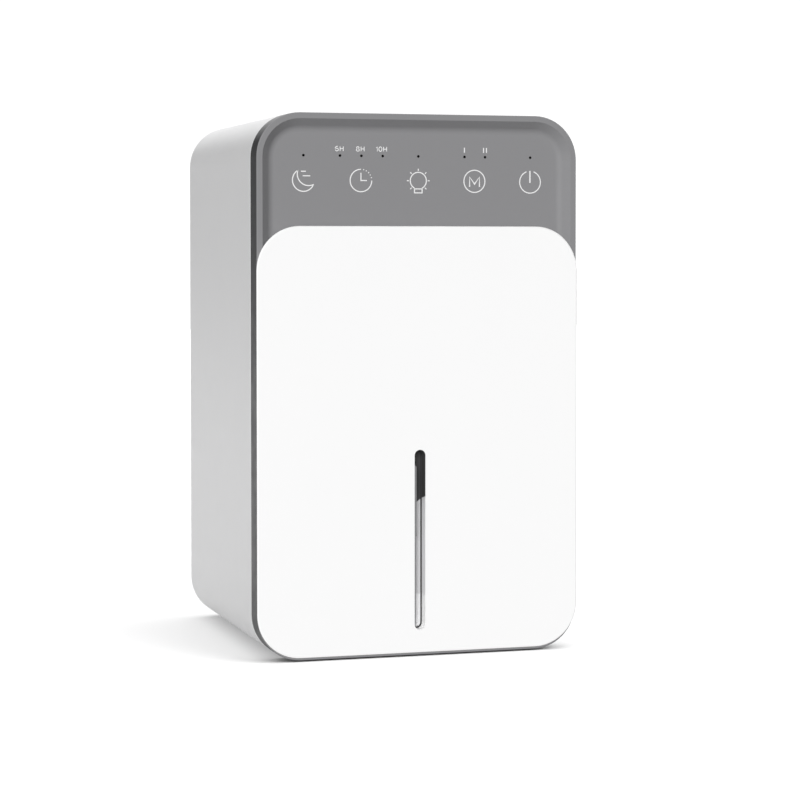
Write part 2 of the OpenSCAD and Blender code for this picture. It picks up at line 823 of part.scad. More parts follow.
module tank_lid() {
    inner = tank_half - tank_wall - 0.3;
    front = pane_y + tank_wall + 0.3;
    back = tank_end - tank_wall - 0.3;
    color("gainsboro") difference() {
        union() {
            block([-tank_half, pane_y + 0.2, tank_rim], [tank_half, tank_end, tank_rim + 2]);
            difference() {
                block([-inner, front, tank_rim - 3.5], [inner, back, tank_rim + e]);
                block([-inner + 1.6, front + 1.6, tank_rim - 4], [inner - 1.6, back - 1.6, tank_rim]);
                lid_seal_ring(0.5);
            }
        }
        translate([0, spout_y, tank_rim - e]) cylinder(r = 9, h = 3);
        translate([0, spout_y, tank_rim + 1]) cylinder(r1 = 9, r2 = 12, h = 1 + e);
        translate([40, -42, tank_rim - e]) cylinder(r = 6.5, h = 3);
    }
}

// The band that the seal fills in the lid's skirt, as deep as the distance given
module lid_seal_ring(depth) {
    inner = tank_half - tank_wall - 0.3;
    front = pane_y + tank_wall + 0.3;
    back = tank_end - tank_wall - 0.3;
    difference() {
        block([-inner - 0.3, front - 0.3, tank_rim - 2.4], [inner + 0.3, back + 0.3, tank_rim - 1]);
        block([-inner + depth, front + depth, tank_rim - 3], [inner - depth, back - depth, tank_rim]);
    }
}

module lid_seal() {
    color("silver") lid_seal_ring(0.5);
}

module pour_plug() {
    color("silver") translate([40, -42, 0]) {
        translate([0, 0, tank_rim + 2]) cylinder(r = 8.5, h = 1.2);
        translate([0, 0, tank_rim - 1.5]) cylinder(r = 6.5, h = 3.6);
    }
}

module float_pin() {
    color("silver") translate([-51, float_y, float_z]) rotate([0, 90, 0])
        cylinder(r = float_pin_r, h = 14);
}

module float_arm() {
    color("white") difference() {
        union() {
            translate([-46.8, float_y, float_z]) rotate([0, 90, 0]) cylinder(r = 3, h = 5.6);
            block([-46, 24, float_z - 3], [-42, float_y, float_z - 0.6]);
            block([-52, 23, float_z - 14], [-36, 25, float_z - 0.6]);
        }
        translate([-48, float_y, float_z]) rotate([0, 90, 0]) cylinder(r = float_pin_r + run_gap, h = 8);
    }
}

module float_body() {
    color("white") difference() {
        block([-54.6, 2, float_z - 16], [-34, 23, float_z - 4]);
        block([-54.7, 4, float_z - 13], [-50.6, 14, float_z - 7]);
    }
}

module float_magnet() {
    color("dimgray") block([-54.6, 4, float_z - 13], [-50.6, 14, float_z - 7]);
}

outer_shell();
front_bezel();
rear_cover();
rear_cover_screws();
rubber_feet();
chassis();
tank_bay();
chassis_screws();
cold_heatsink();
thermoelectric_module();
insulation_gasket();
hot_heatsink();
heatsink_screws();
air_duct();
drip_tray();
fan_frame();
fan_bearing();
fan_stator();
fan_screws();
fan_rotor();
fan_shaft();
control_board();
indicator_lamps();
touch_springs();
control_board_screws();
main_board();
board_components();
main_board_screws();
power_jack();
jack_pin();
night_light();
reed_switch();
ribbon_cable();
fan_lead();
module_leads();
tank_body();
front_panel();
window_pane();
tank_lid();
lid_seal();
pour_plug();
float_pin();
float_arm();
float_body();
float_magnet();
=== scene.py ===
"""Looks of the compact thermoelectric dehumidifier: materials, detailed pieces, lights and camera."""

import math

import bmesh
import bpy
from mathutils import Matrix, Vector
from mathutils.geometry import intersect_point_line


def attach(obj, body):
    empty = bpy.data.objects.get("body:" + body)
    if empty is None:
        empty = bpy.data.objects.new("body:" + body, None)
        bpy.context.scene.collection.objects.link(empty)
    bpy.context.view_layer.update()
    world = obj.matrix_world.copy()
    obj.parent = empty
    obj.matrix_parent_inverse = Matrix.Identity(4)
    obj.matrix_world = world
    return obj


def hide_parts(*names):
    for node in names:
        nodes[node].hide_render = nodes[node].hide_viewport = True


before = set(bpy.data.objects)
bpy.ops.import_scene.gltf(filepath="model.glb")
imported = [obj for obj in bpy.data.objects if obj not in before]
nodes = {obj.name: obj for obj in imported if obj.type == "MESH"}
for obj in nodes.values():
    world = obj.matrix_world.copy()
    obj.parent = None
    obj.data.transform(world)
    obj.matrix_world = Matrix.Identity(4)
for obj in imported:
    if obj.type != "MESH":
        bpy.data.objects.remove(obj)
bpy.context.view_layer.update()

# A millimetre in metres. The object's sizes and places are in millimetres, and the studio's in metres
MM = 0.001

# Depths of the front, and the height of the sleeve's base above the floor, as in the CAD
PANEL_Y = -66.25
BEZEL_Y = -65.45
KEY_FACE_Y = -61.995
PANE_Y = -61.2
BASE_Z = 0.6

# The cooling stack's axis, and the outer radius of the fan's stator, as in the CAD
STACK_Z = 159
STATOR_R = 12.4

# The lamp pinholes in the key face
LAMP_X = (-47.3, -32.2, -23.3, -14.4, 0.6, 20.2, 29, 48.5)
LAMP_Z = BASE_Z + 201.6
PINHOLE_R = 0.55


# ---- node graphs ----


def principled(name, **values):
    """Starts a material and sets its shader's uniform values, such as Base_Color or Roughness."""
    mat = bpy.data.materials.new(name)
    mat.use_nodes = True
    shader = mat.node_tree.nodes["Principled BSDF"]
    for socket, value in values.items():
        shader.inputs[socket.replace("_", " ")].default_value = value
    return mat


def add(mat, kind, settings=None, inputs=None):
    """Adds a node. An input is a plain value, or another node's output socket."""
    made = mat.node_tree.nodes.new(kind)
    for key, value in (settings or {}).items():
        setattr(made, key, value)
    for key, value in (inputs or {}).items():
        if isinstance(value, bpy.types.NodeSocket):
            mat.node_tree.links.new(value, made.inputs[key])
        else:
            made.inputs[key].default_value = value
    return made


def feed(mat, socket, source):
    """Wires a node's output to a socket of the material's shader."""
    shader = mat.node_tree.nodes["Principled BSDF"]
    mat.node_tree.links.new(source, shader.inputs[socket])


def place(mat, stretch=(1, 1, 1)):
    """The point on the object, in metres, stretched along its axes."""
    where = add(mat, "ShaderNodeTexCoord").outputs["Object"]
    if tuple(stretch) == (1, 1, 1):
        return where
    return add(mat, "ShaderNodeMapping", inputs={"Vector": where, "Scale": stretch}).outputs["Vector"]


def noise(mat, size, detail=3, stretch=(1, 1, 1), distortion=0):
    """Noise from 0 to 1 whose grains are about the given size in millimetres."""
    return add(mat, "ShaderNodeTexNoise", inputs={
        "Vector": place(mat, stretch),
        "Scale": 1 / (size * MM),
        "Detail": detail,
        "Distortion": distortion,
    }).outputs["Fac"]


def spread(mat, source, low, high, start=0.3, end=0.7):
    """Maps the values from start to end to the range from low to high, and holds them there."""
    return add(mat, "ShaderNodeMapRange", inputs={
        "Value": source, "From Min": start, "From Max": end, "To Min": low, "To Max": high,
    }).outputs["Result"]


def blend_colours(mat, source, first, second):
    """A colour that goes from the first to the second as the source goes from 0 to 1."""
    mixed = add(mat, "ShaderNodeMix", {"data_type": "RGBA"}, {"Factor": source})
    mixed.inputs["A"].default_value = (*first, 1)
    mixed.inputs["B"].default_value = (*second, 1)
    return mixed.outputs["Result"]


def overlay(mat, source, below, colour):
    """A colour laid over what another node gives, where the source is 1."""
    mixed = add(mat, "ShaderNodeMix", {"data_type": "RGBA"}, {"Factor": source, "A": below})
    mixed.inputs["B"].default_value = (*colour, 1)
    return mixed.outputs["Result"]


def bump(mat, height, depth):
    """Raises the surface by a height map, at most by a depth in millimetres."""
    inputs = {"Height": height, "Distance": depth * MM, "Strength": 1}
    return add(mat, "ShaderNodeBump", inputs=inputs).outputs["Normal"]


def tint(colour, factor):
    """A colour made darker or lighter by a factor."""
    return tuple(min(1, c * factor) for c in colour)


def vary_roughness(mat, roughness):
    """Roughness that drifts a little over several millimetres, as on handled plastic."""
    feed(mat, "Roughness", spread(mat, noise(mat, 6, 4), roughness - 0.05, roughness + 0.05))


# ---- materials ----


def moulded_plastic(name, colour, roughness, grain=0.25, depth=0.002, specular=0.5, shade=0.03):
    """Injection-moulded plastic: a fine spark-eroded grain over faint flow marks."""
    mat = principled(name, IOR=1.5, Specular_IOR_Level=specular)
    flow = noise(mat, 38, 2, stretch=(1, 1, 0.45), distortion=0.4)
    feed(mat, "Base Color", blend_colours(mat, flow, tint(colour, 1 - shade), tint(colour, 1 + shade)))
    vary_roughness(mat, roughness)
    feed(mat, "Normal", bump(mat, noise(mat, grain, 2), depth))
    return mat


def edge_with_painted_sheen(name, side, top, roughness):
    """The bezel's outer edge: dark at the sides, and lighter where it turns to face up, a painted highlight
    for the sheen that light from above gives it.
    """
    mat = principled(name, IOR=1.5, Specular_IOR_Level=0.11)
    normal = add(mat, "ShaderNodeTexCoord").outputs["Normal"]
    up = add(mat, "ShaderNodeSeparateXYZ", inputs={"Vector": normal}).outputs["Z"]
    # Painted highlight: the colour grows lighter as the face turns up
    feed(mat, "Base Color", blend_colours(mat, spread(mat, up, 0, 1, 0.35, 0.95), side, top))
    vary_roughness(mat, roughness)
    feed(mat, "Normal", bump(mat, noise(mat, 0.25, 2), 0.002))
    return mat


# Where the window's painted zones meet: the height of the water's edge at x = 0 and y = 0, how much the
# edge climbs per millimetre to the right and to the front, the top of the lighter foot, and how far
# each border is blurred. Above the water's edge the window carries a painted dark reflection and shade
WATER_Z = 48.75
WATER_TILT = 0.74
WATER_LEAN = 0.22
FOOT_Z = 24.7
WATER_BLUR = 0.15
FOOT_BLUR = 0.4


def height_over_water(mat, where):
    """How far a point is above the slanted plane of the water's edge, plus WATER_Z."""
    tilt = add(mat, "ShaderNodeMath", {"operation": "MULTIPLY"}, {0: where["X"], 1: WATER_TILT})
    lean = add(mat, "ShaderNodeMath", {"operation": "MULTIPLY_ADD"}, {
        0: where["Y"], 1: -WATER_LEAN, 2: tilt.outputs[0],
    })
    level = add(mat, "ShaderNodeMath", {"operation": "SUBTRACT"}, {0: where["Z"], 1: lean.outputs[0]})
    return level.outputs[0]


def painted_zone_plastic(name, painted_dark_reflection, wet, foot, roughness):
    """The window's plastic: a painted dark reflection and shade above the water's edge, lighter below it,
    lightest at the foot.
    """
    mat = principled(name, IOR=1.5, Specular_IOR_Level=0.2, Roughness=roughness)
    where = add(mat, "ShaderNodeSeparateXYZ", inputs={"Vector": place(mat)}).outputs
    level = height_over_water(mat, where)
    # Painted reflection and shade: above the water's edge the colour turns dark
    painted_reflection_mask = spread(mat, level, 0, 1, (WATER_Z - WATER_BLUR) * MM, (WATER_Z + WATER_BLUR) * MM)
    low = spread(mat, where["Z"], 1, 0, (FOOT_Z - FOOT_BLUR) * MM, (FOOT_Z + FOOT_BLUR) * MM)
    streaks = noise(mat, 1.2, 3, stretch=(1, 1, 0.04))
    streaked = blend_colours(mat, streaks, tint(wet, 0.88), tint(wet, 1.1))
    feed(mat, "Base Color", overlay(mat, painted_reflection_mask, overlay(mat, low, streaked, foot), painted_dark_reflection))
    return mat


def metal(name, colour, roughness, size=0.5, stretch=(1, 1, 1), depth=0.001):
    """Bare or plated metal with fine tool marks, drawn out along the axes with a small stretch."""
    mat = principled(name, Metallic=1)
    marks = noise(mat, size, 4, stretch)
    feed(mat, "Base Color", blend_colours(mat, noise(mat, 4), tint(colour, 0.92), colour))
    feed(mat, "Roughness", spread(mat, marks, roughness - 0.08, roughness + 0.1))
    feed(mat, "Normal", bump(mat, marks, depth))
    return mat


def foam(name, colour, cell, depth=0.06):
    """Closed-cell foam, with a dimple at each cell, painted darker inside each dimple as shade."""
    mat = principled(name, Roughness=0.9, Specular_IOR_Level=0.2)
    cells = add(mat, "ShaderNodeTexVoronoi", inputs={"Vector": place(mat), "Scale": 1 / (cell * MM)})
    dimples_and_shade = cells.outputs["Distance"]
    # Painted shade: darker where each dimple is deepest
    feed(mat, "Base Color", blend_colours(mat, dimples_and_shade, tint(colour, 0.8), tint(colour, 1.1)))
    feed(mat, "Normal", bump(mat, dimples_and_shade, depth))
    return mat


def clear_plastic(name, colour, roughness, haze):
    """Clear moulded plastic with faint waves in its surface. Haze 1 lets no light through."""
    mat = principled(name, IOR=1.49, Transmission_Weight=1 - haze)
    feed(mat, "Base Color", blend_colours(mat, noise(mat, 30, 2), colour, tint(colour, 1.03)))
    feed(mat, "Roughness", spread(mat, noise(mat, 9, 3), roughness, roughness + 0.08))
    feed(mat, "Normal", bump(mat, noise(mat, 7, 2), 0.02))
    return mat


def circuit_board(name):
    """Solder mask with the copper tracks and ground areas showing through as lighter green."""
    mat = principled(name, IOR=1.5, Coat_Weight=0.4, Coat_Roughness=0.2)
    tracks = add(mat, "ShaderNodeTexVoronoi", {"feature": "DISTANCE_TO_EDGE"}, {
        "Vector": place(mat, (1, 0.2, 1)), "Scale": 1 / (5 * MM), "Randomness": 0.25,
    })
    lines = spread(mat, tracks.outputs["Distance"], 1, 0, 0.06, 0.1)
    feed(mat, "Base Color", blend_colours(mat, lines, (0.012, 0.075, 0.03), (0.03, 0.17, 0.06)))
    feed(mat, "Roughness", spread(mat, noise(mat, 3), 0.35, 0.5))
    feed(mat, "Normal", bump(mat, lines, 0.03))
    return mat


def windings(name):
    """Enamelled copper wire, wound in rows, painted dark in the grooves between the rows as shade."""
    mat = principled(name, Metallic=1, Coat_Weight=0.5, Coat_Roughness=0.15)
    rows = add(mat, "ShaderNodeTexWave", {"bands_direction": "Y"}, {
        "Vector": place(mat), "Scale": 1 / (4 * MM), "Distortion": 0.6, "Detail": 1,
    }).outputs["Fac"]
    # Painted shade: the colour is darkest in the grooves between the rows of wire
    feed(mat, "Base Color", blend_colours(mat, rows, (0.2, 0.06, 0.02), (0.75, 0.3, 0.12)))
    feed(mat, "Roughness", spread(mat, noise(mat, 1), 0.25, 0.4))
    feed(mat, "Normal", bump(mat, rows, 0.08))
    return mat


def ribbon_sheath(name):
    """Grey flat cable: rounded conductors side by side, painted darker in the grooves between them as
    shade, and the first one is red.
    """
    mat = principled(name, Roughness=0.45)
    where = place(mat)
    ribs_and_shade = add(mat, "ShaderNodeTexWave", inputs={"Vector": where, "Scale": 1 / (6.4 * MM)}).outputs["Fac"]
    across = add(mat, "ShaderNodeSeparateXYZ", inputs={"Vector": where}).outputs["X"]
    first = spread(mat, across, 1, 0, -50.3 * MM, -50.1 * MM)
    # Painted shade: the grey is darkest in the grooves between the conductors
    grey = blend_colours(mat, ribs_and_shade, (0.2, 0.2, 0.21), (0.36, 0.36, 0.37))
    feed(mat, "Base Color", overlay(mat, first, grey, (0.35, 0.03, 0.03)))
    feed(mat, "Normal", bump(mat, ribs_and_shade, 0.15))
    return mat


def plastics():
    """The moulded materials: a colour and a roughness, then what differs from the usual."""
    recipes = {
        "shell_white": ((0.86, 0.86, 0.865), 0.42, {"specular": 0.2, "shade": 0.006}),
        "panel_white": ((0.912, 0.912, 0.912), 0.4, {"depth": 0.0015, "specular": 0.3, "shade": 0.004}),
        "bezel_grey": ((0.249, 0.248, 0.255), 0.6, {"depth": 0.003, "specular": 0.2, "shade": 0.01}),
        # The window ledge's grey, which stands in for the shade along the slot's left side
        "ledge_grey": ((0.22, 0.22, 0.225), 0.5, {"specular": 0.2, "shade": 0.01}),
        "ink": ((0.8, 0.8, 0.8), 0.55, {"shade": 0.02}),
        "foot_rubber": ((0.03, 0.03, 0.032), 0.8, {
            "grain": 0.15, "depth": 0.01, "specular": 0.3, "shade": 0.1,
        }),
        "inner_plastic": ((0.5, 0.51, 0.52), 0.5, {"grain": 0.3, "depth": 0.006}),
        "module_ceramic": ((0.78, 0.77, 0.74), 0.55, {"grain": 0.1, "depth": 0.003}),
        "fan_black": ((0.022, 0.022, 0.024), 0.42, {"grain": 0.3, "depth": 0.006, "shade": 0.1}),
        "component_black": ((0.018, 0.018, 0.02), 0.5, {"grain": 0.12, "depth": 0.008, "shade": 0.15}),
        "lamp_smoked": ((0.012, 0.012, 0.013), 0.35, {"grain": 0.3, "specular": 0.3, "shade": 0.1}),
        "cable_black": ((0.02, 0.02, 0.02), 0.4, {"grain": 0.5, "depth": 0.01}),
        "cable_red": ((0.5, 0.02, 0.015), 0.4, {"grain": 0.5, "depth": 0.01}),
        "connector_ivory": ((0.72, 0.7, 0.6), 0.45, {"grain": 0.3, "depth": 0.006}),
        "capacitor_sleeve": ((0.03, 0.045, 0.13), 0.3, {"grain": 0.5, "depth": 0.004}),
        "silicone": ((0.72, 0.73, 0.72), 0.45, {"grain": 0.4, "depth": 0.01}),
        "magnet_ferrite": ((0.035, 0.035, 0.04), 0.45, {"grain": 0.08, "depth": 0.02, "shade": 0.2}),
    }
    return {
        name: moulded_plastic(name, colour, roughness, **more)
        for name, (colour, roughness, more) in recipes.items()
    }


def other_materials():
    """The window's plastics, clear plastics, metals, foams, board, windings and flat cable."""
    return {
        "bezel_side": edge_with_painted_sheen("bezel_side", (0.046, 0.046, 0.048), (0.38, 0.38, 0.385), 0.4),
        "pane_clear": painted_zone_plastic(
            "pane_clear", (0.06, 0.06, 0.061), (0.69, 0.69, 0.7), (0.86, 0.86, 0.87), 0.35
        ),
        "window_liner": painted_zone_plastic(
            "window_liner", (0.06, 0.06, 0.06), (0.82, 0.82, 0.83), (0.96, 0.96, 0.96), 0.4
        ),
        "lamp_lens": clear_plastic("lamp_lens", (0.85, 0.85, 0.8), 0.35, haze=0.6),
        "tank_clear": clear_plastic("tank_clear", (0.86, 0.9, 0.92), 0.06, haze=0.2),
        "zinc_steel": metal("zinc_steel", (0.62, 0.64, 0.66), 0.32),
        "heatsink_aluminium": metal(
            "heatsink_aluminium", (0.78, 0.79, 0.8), 0.35, size=0.3, stretch=(1, 1, 0.02), depth=0.004
        ),
        "bearing_bronze": metal("bearing_bronze", (0.6, 0.42, 0.22), 0.4, size=0.1),
        "contact_brass": metal("contact_brass", (0.8, 0.6, 0.25), 0.25, size=0.2),
        "gasket_foam": foam("gasket_foam", (0.05, 0.05, 0.055), 0.6),
        "float_foam": foam("float_foam", (0.85, 0.85, 0.84), 1.6, depth=0.08),
        "circuit_board": circuit_board("circuit_board"),
        "winding_copper": windings("winding_copper"),
        "cable_grey": ribbon_sheath("cable_grey"),
    }


MATERIALS = {**plastics(), **other_materials()}


# ---- materials on the CAD nodes ----


def dress(obj, material):
    """Gives an object one material and takes away the plain ones that it came with."""
    obj.data.materials.clear()
    obj.data.materials.append(material)


def paint(obj, material, test):
    """Gives a material to each face whose centre, in millimetres, and normal pass a test."""
    if material not in list(obj.data.materials):
        obj.data.materials.append(material)
    index = list(obj.data.materials).index(material)
    for face in obj.data.polygons:
        if test(face.center / MM, face.normal):
            face.material_index = index


def inside(x, y, z):
    """A test for faces whose centre lies in a box, given as a range along each axis."""
    return lambda centre, normal: all(low <= c <= high for c, (low, high) in zip(centre, (x, y, z)))


def everywhere(centre, normal):
    """A test that every face passes."""
    return True


def on_bezel_edge(centre, normal):
    """A test for the walls of the bezel that run from front to back, behind its rim."""
    return centre.y > BEZEL_Y + 0.36 and abs(normal.y) < 0.1


def in_pinhole(centre, normal):
    """A test for the walls of the lamp pinholes in the bezel."""
    return any(math.hypot(centre.x - x, centre.z - LAMP_Z) < PINHOLE_R + 0.02 for x in LAMP_X)


def on_stator_rim(centre, normal):
    """A test for the outer rims of the stator's arms."""
    return math.hypot(centre.x, centre.z - STACK_Z) > STATOR_R - 0.35


def lead_route(rise=0, shift=0, rear_rise=0):
    """The middle of one of the module's leads, from the module to the main board, as in the CAD."""
    return [Vector(point) for point in (
        (20.2, -12.1, 150.3 + rise),
        (43, -12.1, 150.3 + rise),
        (49, -10, 146 + rise),
        (50, 10, 128 + rise),
        (50, 40, 114 + rise),
        (49 - shift, 55, 106 + rear_rise),
        (42 - shift, 55, 96),
        (41 - shift, 55, 86.2),
    )]


RED_ROUTE = lead_route()
BLACK_ROUTE = lead_route(rise=2.4, shift=3, rear_rise=2)


def distance_to_route(point, route):
    """How far a point is from a line of straight stretches."""
    best = math.inf
    for start, end in zip(route, route[1:]):
        nearest, share = intersect_point_line(point, start, end)
        nearest = start if share < 0 else end if share > 1 else nearest
        best = min(best, (point - nearest).length)
    return best


def on_black_lead(centre, normal):
    """A test for the faces that are nearer to the black lead than to the red one."""
    return distance_to_route(centre, BLACK_ROUTE) < distance_to_route(centre, RED_ROUTE)


# Parts of a node that are of another material than its slot's: the node, the material and the test
PARTS = [
    # The bezel's sides: dark, with a painted highlight where they turn to face up
    ("front_bezel", "bezel_side", on_bezel_edge),
    # Painted shade: the walls of the lamp pinholes get the lamps' near-black, so the holes read dark
    ("front_bezel", "lamp_smoked", in_pinhole),
    ("indicator_lamps", "lamp_smoked", everywhere),
    ("module_leads", "cable_black", on_black_lead),
    ("control_board", "component_black", inside((3.9, 14.1), (-54.7, -53), (191.9, 202.1))),
    ("control_board", "connector_ivory", inside((-51.6, -42.4), (-54.7, -50), (185.9, 191.1))),
    ("board_components", "capacitor_sleeve", inside((9, 31), (51.5, 60.2), (37, 47))),
    ("board_components", "heatsink_aluminium", inside((-42.1, -23.9), (51.5, 60), (41.9, 46.1))),
    ("board_components", "connector_ivory", inside((-51.6, -42.4), (51.5, 57), (73.9, 82.1))),
    ("board_components", "connector_ivory", inside((17.9, 44.1), (51.5, 58), (75.9, 86.1))),
    ("night_light", "lamp_lens", inside((-3, 3), (44, 45.9), (33, 39))),
    ("reed_switch", "lamp_lens", inside((-65, -62.45), (-3, 13), (82, 86))),
    ("thermoelectric_module", "silicone", inside((-19, 19), (-13.3, -10.9), (139, 179))),
    ("fan_stator", "zinc_steel", on_stator_rim),
]


def dress_cad_nodes():
    """Gives each CAD node the material of its slot, and parts of it another one."""
    for node in nodes.values():
        dress(node, MATERIALS[node.data.materials[0].name])
    for name, slot, test in PARTS:
        paint(nodes[name], MATERIALS[slot], test)


# ---- meshes ----


def to_piece(name, bm, body, material):
    """Turns a bmesh that is in millimetres into a piece that rides on a body."""
    bmesh.ops.recalc_face_normals(bm, faces=bm.faces)
    bmesh.ops.scale(bm, vec=(MM, MM, MM), verts=bm.verts)
    mesh = bpy.data.meshes.new(name)
    bm.to_mesh(mesh)
    bm.free()
    piece = bpy.data.objects.new(name, mesh)
    bpy.context.scene.collection.objects.link(piece)
    dress(piece, material)
    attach(piece, body)
    return piece


def bridge(bm, first, second):
    """Joins two closed rings of equally many points by a band of faces."""
    n = len(first)
    for i in range(n):
        j = (i + 1) % n
        bm.faces.new((first[i], first[j], second[j], second[i]))


# ---- printed symbols ----

# Widths of the ink's lines, and how far the ink stands out of the key face
STROKE = 0.42
STROKE_SMALL = 0.29
STROKE_BOLD = 0.56
INK_T = 0.03

# The symbols' radius, and the labels' places and sizes. Heights are above the base of the sleeve
SYMBOL_R = 4.5
LABEL_Z = 203.45
LABEL_H = 1.82
DIGIT_W = 1.25
LETTER_W = 1.3
BAR_Z = (203.35, 205.35)

# From the left edge of a figure to that of the next one, and what is added before the letter
DIGIT_STEP = 1.8
ONE_STEP = 1.2
LETTER_GAP = 0.15


def arc(x, z, r, start, end, r_z=None):
    """Points on an arc, with angles in degrees from +X towards +Z."""
    count = max(2, round(abs(end - start) / 9)) + 1
    angles = [math.radians(start + (end - start) * i / (count - 1)) for i in range(count)]
    return [Vector((x + r * math.cos(a), z + (r_z or r) * math.sin(a))) for a in angles]


def ring(x, z, r, r_z=None):
    """A closed stroke round a point."""
    return [None, *arc(x, z, r, 0, 351, r_z)]


def line(*points):
    """A stroke through the given points."""
    return [Vector(p) for p in points]


def side_step(before, after):
    """The sideways step that keeps both stretches of a ribbon equally wide at a corner."""
    a = Vector((-before.y, before.x)).normalized()
    b = Vector((-after.y, after.x)).normalized()
    return (a + b) / max(0.8, 1 + a.dot(b))


def ribbon(bm, points, width, closed=False):
    """Adds a flat ribbon of ink along a line of points in the key face, sunk into it a little."""
    n = len(points)
    top, sunk = -INK_T, INK_T / 3
    rings = []
    for i, p in enumerate(points):
        before = p - points[i - 1] if closed or i > 0 else points[1] - p
        after = points[(i + 1) % n] - p if closed or i < n - 1 else p - points[i - 1]
        step = side_step(before, after) * width / 2
        corners = ((p - step, sunk), (p + step, sunk), (p + step, top), (p - step, top))
        rings.append([bm.verts.new((q.x, KEY_FACE_Y + y, q.y)) for q, y in corners])
    for i in range(n if closed else n - 1):
        bridge(bm, rings[i], rings[(i + 1) % n])
    if not closed:
        bm.faces.new(rings[0])
        bm.faces.new(rings[-1][::-1])


def symbol(name, strokes, width=STROKE, bold=()):
    """Prints a symbol. A stroke is a line of points, and a closed one starts with None."""
    bm = bmesh.new()
    for stroke in bold:
        ribbon(bm, stroke, STROKE_BOLD)
    for stroke in strokes:
        closed = stroke[0] is None
        ribbon(bm, stroke[1:] if closed else stroke, width, closed)
    bmesh.ops.translate(bm, verts=bm.verts, vec=(0, 0, BASE_Z))
    return to_piece(name, bm, "housing", MATERIALS["ink"])


def moon(x, z):
    """A crescent, with two short bars beside it."""
    inner = arc(x + 2.11, z + 2.44, 4.64, 299.5, 155)
    return [
        [None, *arc(x, z, SYMBOL_R, 117.8, 339), *inner[1:-1]],
        line((x - 1, z + 3.5), (x + 1, z + 3.5)),
        line((x - 0.3, z + 1.7), (x + 2.8, z + 1.7)),
    ]


def clock(x, z):
    """A dial with two hands, and dots in place of its upper right quarter."""
    return [
        arc(x, z, SYMBOL_R, 90, 360),
        line((x, z + 3.1), (x, z), (x + 2.5, z)),
        *(arc(x, z, SYMBOL_R, a - 2.4, a + 2.4) for a in range(15, 76, 15)),
    ]


def bulb(x, z):
    """A light bulb: the globe, its base and the rays round it."""
    left, right, low, high = x - 1.62, x + 1.6, z - 4.9, z - 3.3
    rays = []
    for turn in range(-45, 226, 45):
        a = math.radians(turn)
        rays.append(line(*((x + r * math.cos(a), z + r * math.sin(a)) for r in (4.0, 4.8))))
    return [
        arc(x, z, 3.4, -62, 242),
        [None, *line((left, low), (right, low), (right, high), (left, high))],
        *rays,
    ]


def letter_m(x, z):
    """The letter in the middle of the mode symbol."""
    left, right, low, high = x - 2.1, x + 2.1, z - 2.25, z + 1.75
    return line((left, low), (left, high), (x, z - 1.15), (right, high), (right, low))


def letter_h(x):
    """The letter after the hours, with its left side at x."""
    right, half = x + LETTER_W, STROKE_SMALL / 2
    top, middle = LABEL_Z + LABEL_H, LABEL_Z + LABEL_H / 2
    return [
        line((x, LABEL_Z), (x, top)),
        line((right, LABEL_Z), (right, top)),
        line((x + half, middle), (right - half, middle)),
    ]


def digit(figure, x):
    """The strokes of a small figure whose left edge is at x."""
    z, h, w = LABEL_Z, LABEL_H, DIGIT_W
    mid = x + w / 2
    if figure == "1":
        return [line((x + 0.1, z + h - 0.45), (x + 0.55, z + h), (x + 0.55, z))]
    if figure == "0":
        return [ring(mid, z + h / 2, w / 2, h / 2)]
    if figure == "8":
        return [ring(mid, z + h * 0.26, w * 0.5, h * 0.26), ring(mid, z + h * 0.77, w * 0.4, h * 0.22)]
    # What is left is the 6
    low = h * 0.3
    return [
        ring(mid, z + low, w / 2, low),
        line((x, z + low), (x, z + h - 0.45), (x + 0.4, z + h), (x + w * 0.8, z + h)),
    ]


def print_symbols():
    """The five key symbols, in a row."""
    symbol("symbol_sleep", moon(-47.3, 191.7))
    symbol("symbol_timer", clock(-23.5, 191.7))
    symbol("symbol_lamp", bulb(0.57, 191.8))
    symbol("symbol_mode", [ring(24.45, 191.75, SYMBOL_R)], bold=[letter_m(24.5, 191.75)])
    power_bar = line((48.4, 191.3), (48.4, 196.2))
    symbol("symbol_power", [arc(48.45, 191.6, SYMBOL_R, 110, 430)], bold=[power_bar])


def print_labels():
    """The timer's hours, and one and two bars for the two modes."""
    for figures, start in (("6", -34.1), ("8", -25.4), ("10", -17.2)):
        strokes = []
        x = start
        for figure in figures:
            strokes += digit(figure, x)
            x += ONE_STEP if figure == "1" else DIGIT_STEP
        symbol(f"label_{figures}_hours", strokes + letter_h(x + LETTER_GAP), STROKE_SMALL)
    for name, bars in (("label_low", (20.15,)), ("label_high", (28.35, 29.6))):
        symbol(name, [line(*((x, z) for z in BAR_Z)) for x in bars])


# ---- fan ----

# The space that the fan's hub and blades turn in
HUB_R = 16.5
BLADE_TIP_R = 37.2
BLADE_FRONT_Y = 39.3
BLADE_DEPTH = 17

# A blade's shape: how far its root is sunk into the hub, the space left before and behind it, its
# width, sweep and camber as angles, and how many points its sheets have outwards and along
BLADES = 7
BLADE_ROOT = 0.7
BLADE_MARGIN = 0.8
BLADE_WIDTH = math.radians(38)
BLADE_SWEEP = math.radians(16)
BLADE_CAMBER = math.radians(5)
BLADE_ROWS = 10
BLADE_COLUMNS = 12


def lathe(bm, profile):
    """Turns a closed line of (radius, depth) points round the stack's axis."""
    count = 64
    rings = []
    for i in range(count):
        a = 2 * math.pi * i / count
        rings.append([bm.verts.new((r * math.cos(a), y, STACK_Z + r * math.sin(a))) for r, y in profile])
    for i in range(count):
        bridge(bm, rings[i], rings[(i + 1) % count])


